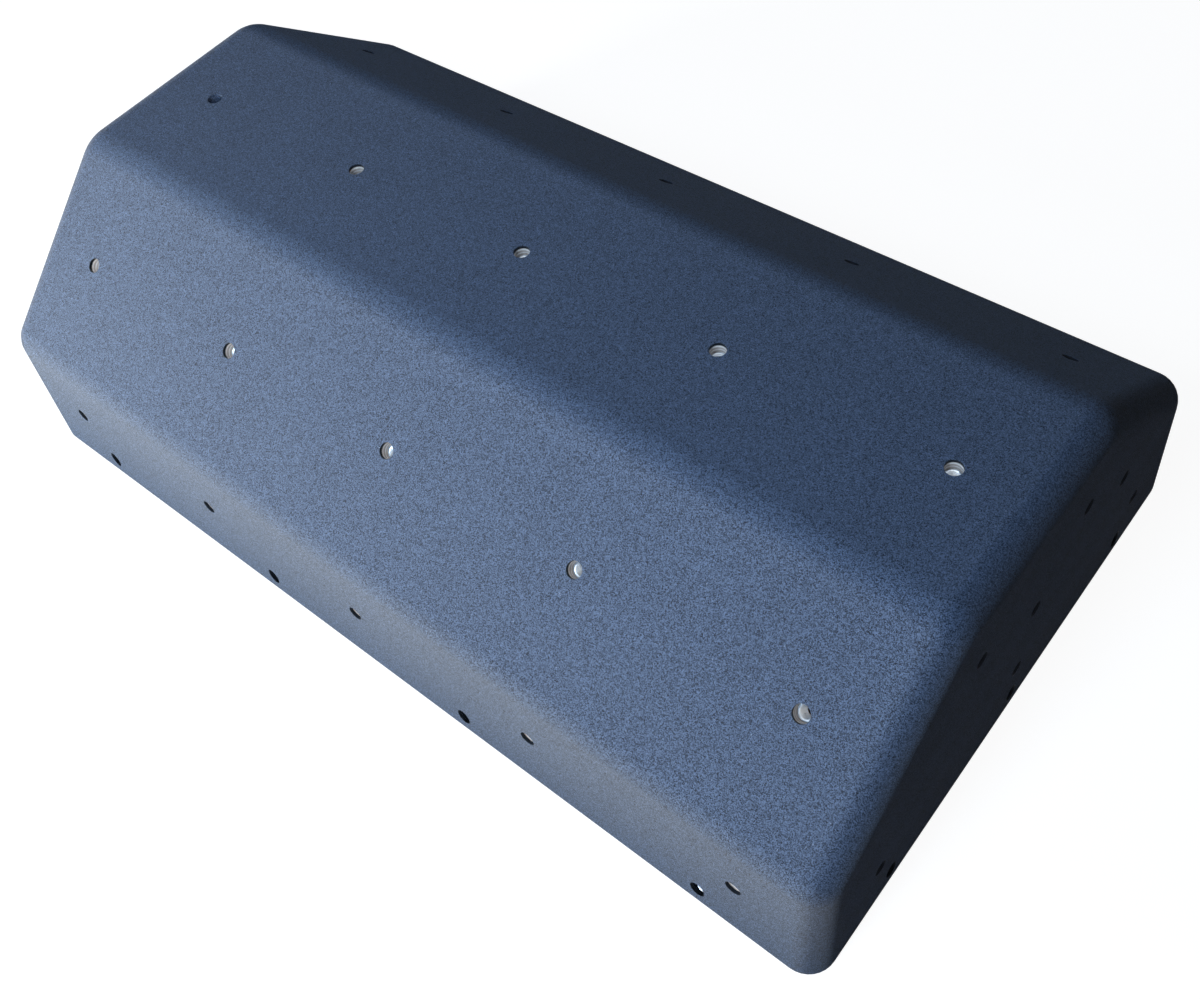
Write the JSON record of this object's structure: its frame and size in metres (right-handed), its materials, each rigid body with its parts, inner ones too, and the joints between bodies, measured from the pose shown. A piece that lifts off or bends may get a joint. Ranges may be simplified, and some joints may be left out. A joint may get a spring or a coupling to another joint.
{
  "type": "climbing volume",
  "caption": "Long hollow climbing volume with a flat top, two slopes and upright sides, coated in grit over plywood, with threaded nuts for holds and slanting screw holes at its back edge.",
  "frame": {"origin": "centre of the open back, in the plane of the back edge that lies on the climbing wall", "axes": "+X along the length to the end wall with seven bolt holes, +Y to the far side wall, +Z away from the climbing wall"},
  "size_m": [0.8, 0.47, 0.227],
  "materials": {
    "resin_skin": "rough sand-textured resin, blue-black",
    "plywood": "sanded birch plywood",
    "zinc_nut": "bright zinc plate",
    "zinc_washer": "bright zinc plate"
  },
  "bodies": {
    "root": {"resin_skin": "resin_skin", "top_board": "plywood", "near_slope_board": "plywood", "far_slope_board": "plywood", "near_side_board": "plywood", "far_side_board": "plywood", "right_end_board": "plywood", "left_end_board": "plywood", "top_nut_1": "zinc_nut", "top_nut_2": "zinc_nut", "top_nut_3": "zinc_nut", "top_nut_4": "zinc_nut", "top_nut_5": "zinc_nut", "near_slope_nut_1": "zinc_nut", "near_slope_nut_2": "zinc_nut", "near_slope_nut_3": "zinc_nut", "near_slope_nut_4": "zinc_nut", "near_slope_nut_5": "zinc_nut", "far_slope_nut_1": "zinc_nut", "far_slope_nut_2": "zinc_nut", "far_slope_nut_3": "zinc_nut", "far_slope_nut_4": "zinc_nut", "far_slope_nut_5": "zinc_nut", "near_side_nut_1": "zinc_nut", "near_side_nut_2": "zinc_nut", "near_side_nut_3": "zinc_nut", "near_side_nut_4": "zinc_nut", "near_side_nut_5": "zinc_nut", "far_side_nut_1": "zinc_nut", "far_side_nut_2": "zinc_nut", "far_side_nut_3": "zinc_nut", "far_side_nut_4": "zinc_nut", "far_side_nut_5": "zinc_nut", "right_end_nut_1": "zinc_nut", "right_end_nut_2": "zinc_nut", "right_end_nut_3": "zinc_nut", "right_end_nut_4": "zinc_nut", "right_end_nut_5": "zinc_nut", "right_end_nut_6": "zinc_nut", "right_end_nut_7": "zinc_nut", "left_end_nut_1": "zinc_nut", "left_end_nut_2": "zinc_nut", "left_end_nut_3": "zinc_nut", "left_end_nut_4": "zinc_nut", "left_end_nut_5": "zinc_nut", "left_end_nut_6": "zinc_nut", "near_side_washer_1": "zinc_washer", "near_side_washer_2": "zinc_washer", "near_side_washer_3": "zinc_washer", "near_side_washer_4": "zinc_washer", "far_side_washer_1": "zinc_washer", "far_side_washer_2": "zinc_washer", "far_side_washer_3": "zinc_washer", "far_side_washer_4": "zinc_washer", "right_end_washer_1": "zinc_washer", "right_end_washer_2": "zinc_washer", "right_end_washer_3": "zinc_washer", "left_end_washer_1": "zinc_washer", "left_end_washer_2": "zinc_washer", "left_end_washer_3": "zinc_washer"}
  },
  "joints": []
}
